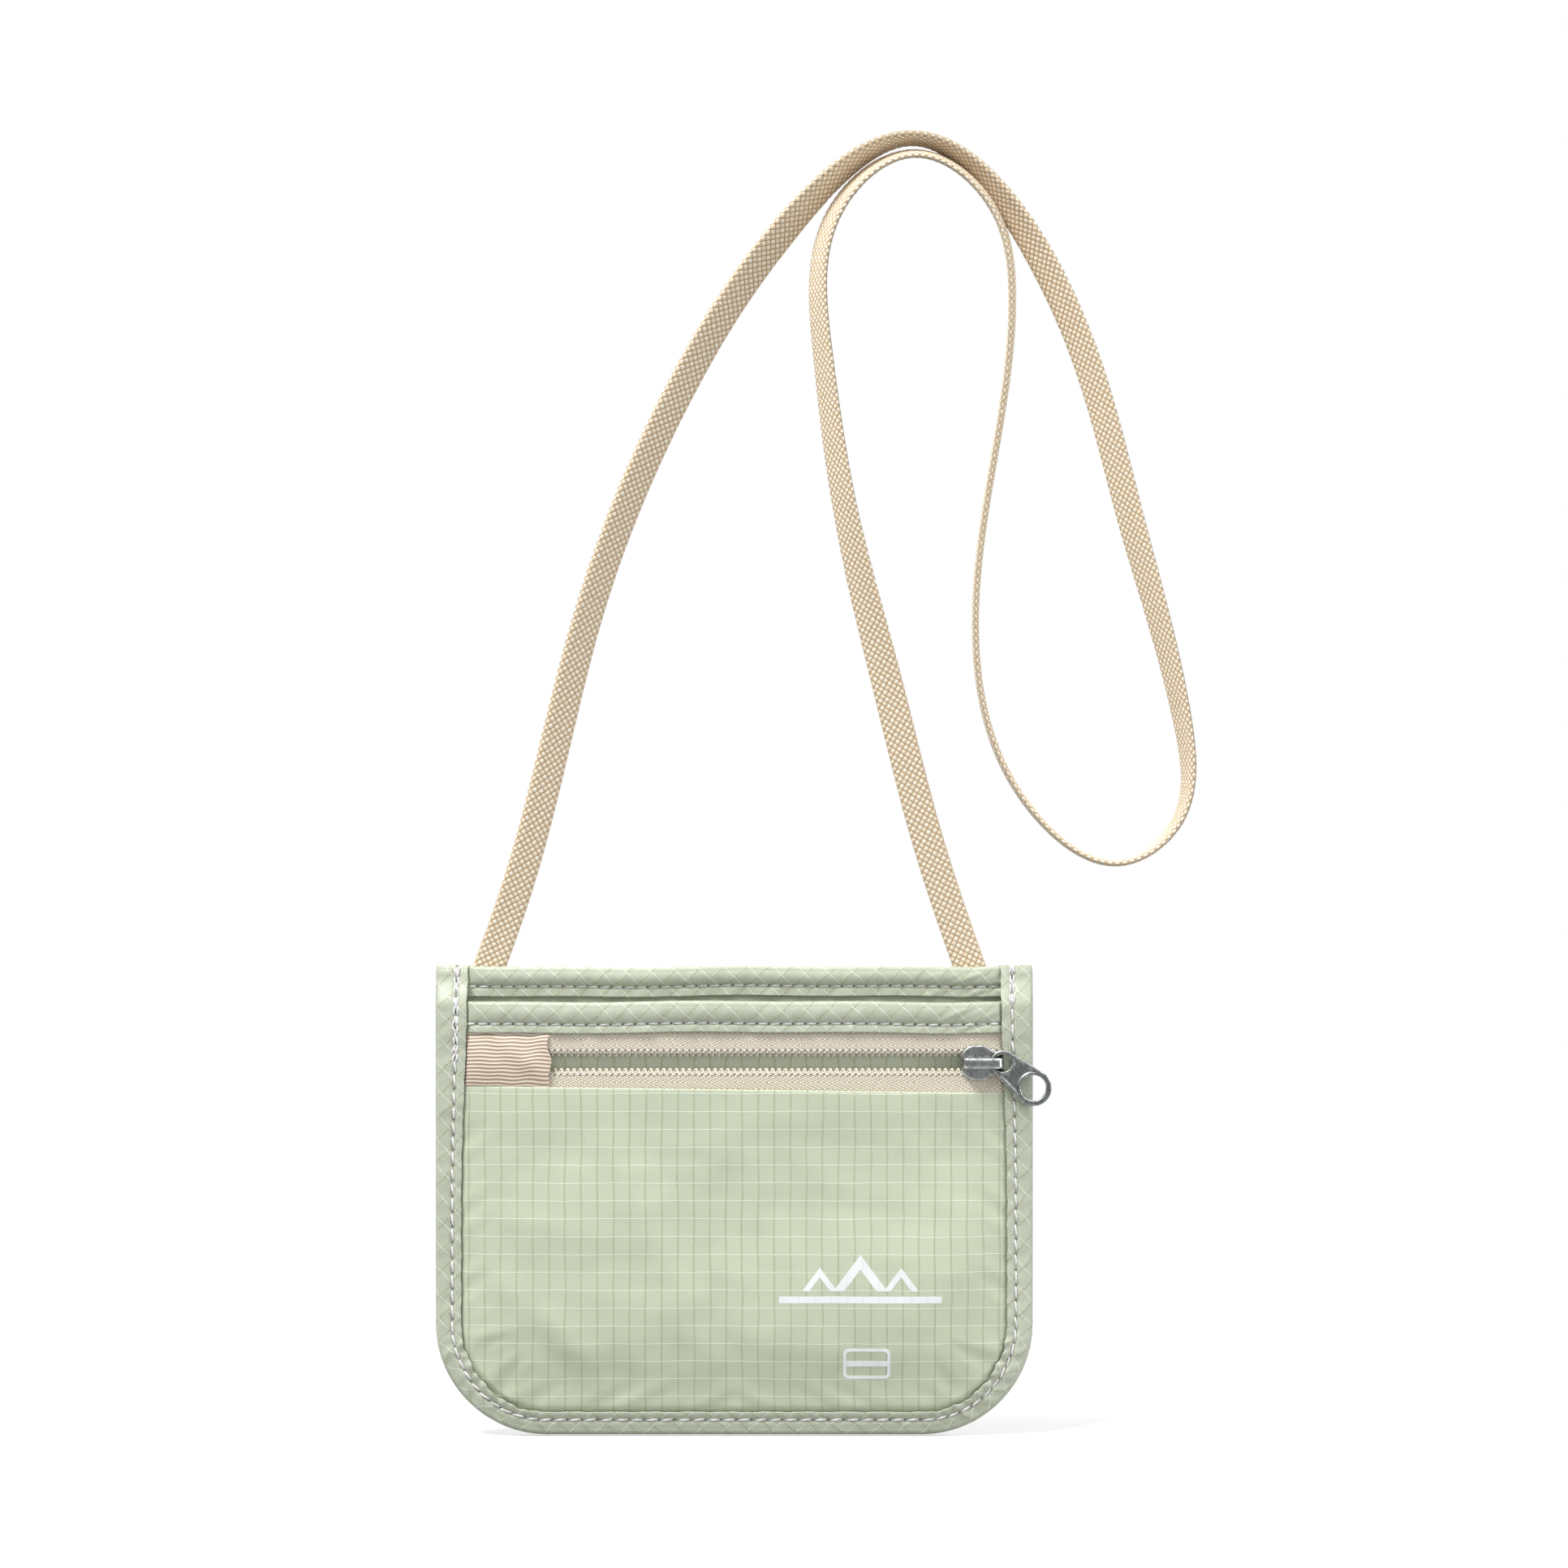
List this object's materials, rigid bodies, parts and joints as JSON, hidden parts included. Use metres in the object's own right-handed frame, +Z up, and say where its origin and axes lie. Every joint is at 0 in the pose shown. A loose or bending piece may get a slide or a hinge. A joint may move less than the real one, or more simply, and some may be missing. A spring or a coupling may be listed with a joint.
{
  "type": "neck pouch wallet",
  "caption": "Flat rectangular fabric pouch with rounded lower corners, a slip pocket, a coil-zip pocket and a braided neck strap, for carrying cards and papers.",
  "frame": {"origin": "centre of the pouch's flat back face", "axes": "+Z up towards the strap, +X to the right as the front is seen, +Y out of the back towards the wearer, -Y out of the front"},
  "size_m": [0.1783, 0.0104, 0.3054],
  "materials": {
    "ripstop": "woven ripstop nylon, matt",
    "binding": "bias-cut ripstop tape, matt",
    "lining": "plain woven lining",
    "shield_film": "metallised film",
    "zip_tape": "herringbone polyester tape",
    "zip_coil": "nylon filament",
    "grosgrain": "ribbed ribbon",
    "strap_webbing": "flat braid",
    "thread": "polyester thread",
    "slider_metal": "dark nickel plate",
    "pull_metal": "dark nickel plate",
    "print": "flat white ink"
  },
  "bodies": {
    "pouch": {"back_panel": "ripstop", "rear_shield": "shield_film", "rear_lining": "lining", "rear_hem_binding": "binding", "rear_hem_thread": "thread", "divider_panel": "ripstop", "divider_hem_binding": "binding", "divider_hem_thread": "thread", "front_lining": "lining", "front_shield": "shield_film", "front_panel": "ripstop", "front_print": "print", "upper_zip_tape": "zip_tape", "lower_zip_tape": "zip_tape", "upper_zip_coil": "zip_coil", "lower_zip_coil": "zip_coil", "upper_coil_thread": "thread", "lower_coil_thread": "thread", "zip_end_tab": "grosgrain", "edge_binding": "binding", "edge_thread": "thread", "binding_end_tacks": "thread", "left_strap_end": "strap_webbing", "right_strap_end": "strap_webbing", "strap_bar_tacks": "thread"},
    "slider": {"slider_body": "slider_metal", "slider_bridge": "slider_metal"},
    "pull": {"zip_pull": "pull_metal"},
    "strap": {"neck_strap": "strap_webbing"}
  },
  "joints": [
    {"name": "zip_slide", "type": "slide", "parent": "pouch", "child": "slider", "axis": [-1, 0, 0], "range_m": [0, 0.095]},
    {"name": "pull_lift", "type": "hinge", "parent": "slider", "child": "pull", "pos_m": [0.0603, -0.0064, 0.0323], "axis": [0, 0, -1], "range_deg": [0, 105]},
    {"name": "strap_fold", "type": "hinge", "parent": "pouch", "child": "strap", "pos_m": [0, 0.0009, 0.0566], "axis": [1, 0, 0], "range_deg": [-90, 90]}
  ]
}
